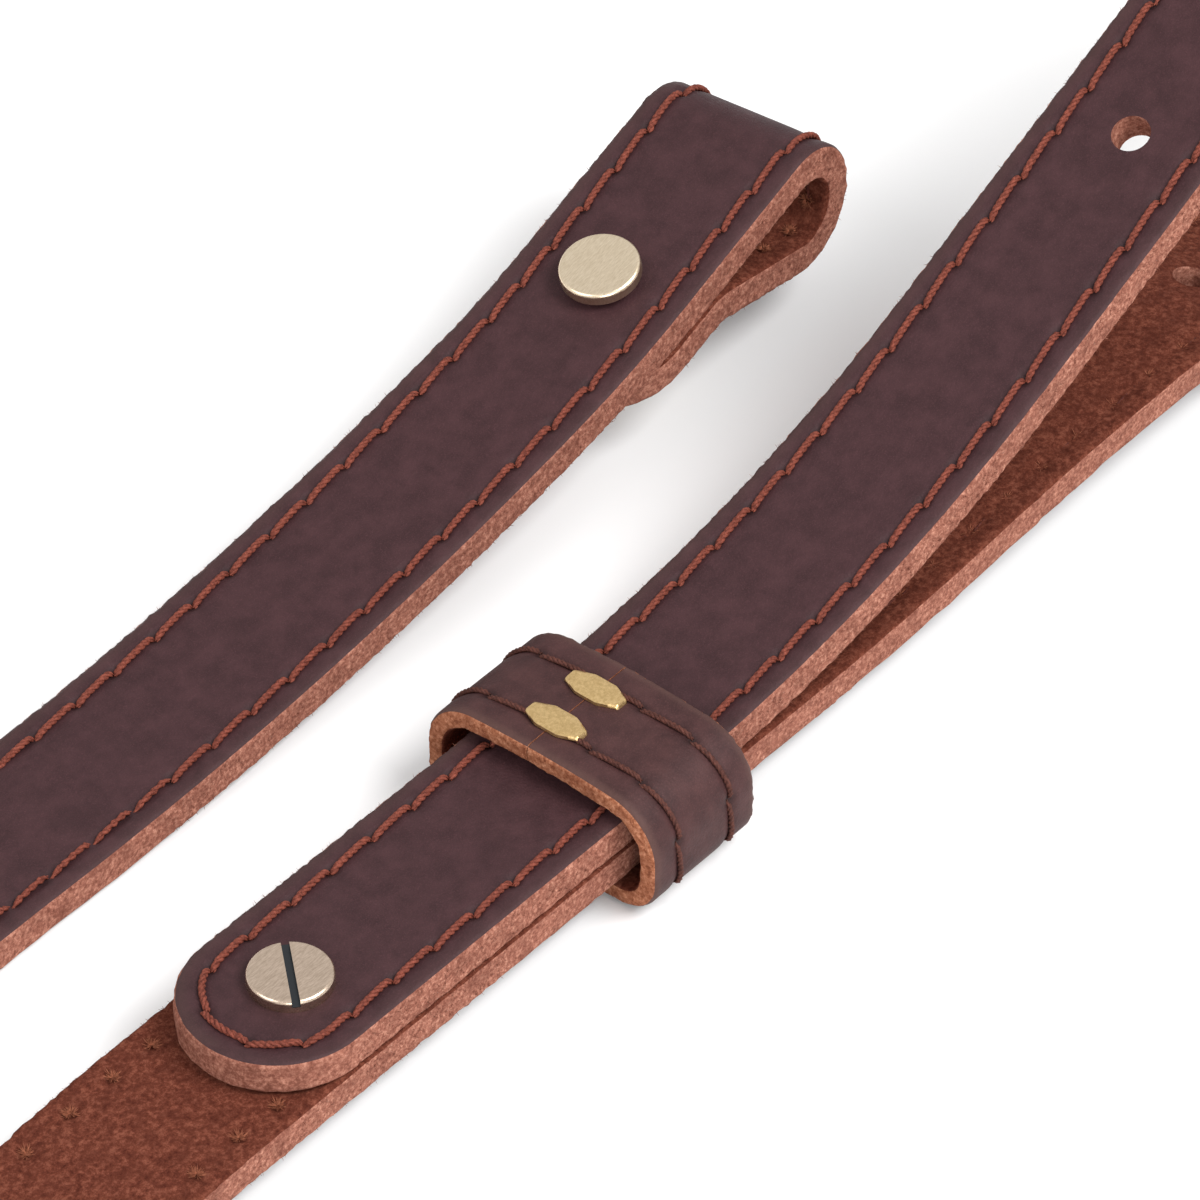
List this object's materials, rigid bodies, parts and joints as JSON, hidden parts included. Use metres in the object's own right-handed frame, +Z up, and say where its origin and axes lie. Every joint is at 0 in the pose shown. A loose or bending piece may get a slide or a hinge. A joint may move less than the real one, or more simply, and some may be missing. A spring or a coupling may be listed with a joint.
{
  "type": "guitar strap",
  "caption": "Narrow stitched leather instrument strap: one end folded into a small screw-clamped eye, the other into an adjustable loop held by a slotted screw and a sliding keeper.",
  "frame": {"origin": "centre of the object's bounding box, on the table that it lies on", "axes": "+X along the doubled run from the tail's tip towards the far loop; +Y towards the leg that ends in the small eye; +Z up from the table"},
  "size_m": [0.5204, 0.074, 0.0542],
  "materials": {
    "strap_leather": "matte waxed dark brown grain with raw tan edges and a russet flesh side",
    "keeper_leather": "matte waxed dark brown grain with raw orange-tan edges",
    "rust_thread": "thick twisted waxed thread, rust red",
    "brown_thread": "thin bobbin thread, russet brown",
    "keeper_thread": "twisted thread, dark reddish brown",
    "antique_brass": "brushed antique brass with bright rounded rims",
    "staple_brass": "speckled dull brass"
  },
  "bodies": {
    "strap": {"strap_leather": "strap_leather", "strap_needle_thread": "rust_thread", "strap_bobbin_thread": "brown_thread"},
    "keeper": {"keeper_band": "keeper_leather", "keeper_front_needle_thread": "keeper_thread", "keeper_front_bobbin_thread": "keeper_thread", "keeper_rear_needle_thread": "keeper_thread", "keeper_rear_bobbin_thread": "keeper_thread", "keeper_staple_1": "staple_brass", "keeper_staple_2": "staple_brass"},
    "tail_post": {"tail_post": "antique_brass"},
    "tail_screw": {"tail_screw": "antique_brass"},
    "eye_screw": {"eye_screw": "antique_brass"},
    "eye_post": {"eye_post": "antique_brass"}
  },
  "joints": [
    {"name": "keeper_slide", "type": "slide", "parent": "strap", "child": "keeper", "axis": [1, 0, 0], "range_m": [-0.034, 0.005]},
    {"name": "tail_post_turn", "type": "hinge", "parent": "strap", "child": "tail_post", "pos_m": [0.04655, -0.02076, 0], "axis": [0, 0, -1], "range_deg": [0, 1801]},
    {"name": "tail_screw_rise", "type": "slide", "parent": "strap", "child": "tail_screw", "axis": [0, 0, 1], "range_m": [0, 0.004]},
    {"name": "eye_screw_turn", "type": "hinge", "parent": "strap", "child": "eye_screw", "pos_m": [0.15055, 0.02317, 0.01374], "axis": [0.2283, -0.0012, -0.9736], "range_deg": [0, 1801]},
    {"name": "eye_post_rise", "type": "slide", "parent": "strap", "child": "eye_post", "axis": [-0.2283, 0.0012, 0.9736], "range_m": [0, 0.004]}
  ],
  "couplings": [
    {"joint": "tail_post_turn", "follows": "tail_screw_rise", "rad_per_m": 7854},
    {"joint": "eye_screw_turn", "follows": "eye_post_rise", "rad_per_m": 7854}
  ]
}
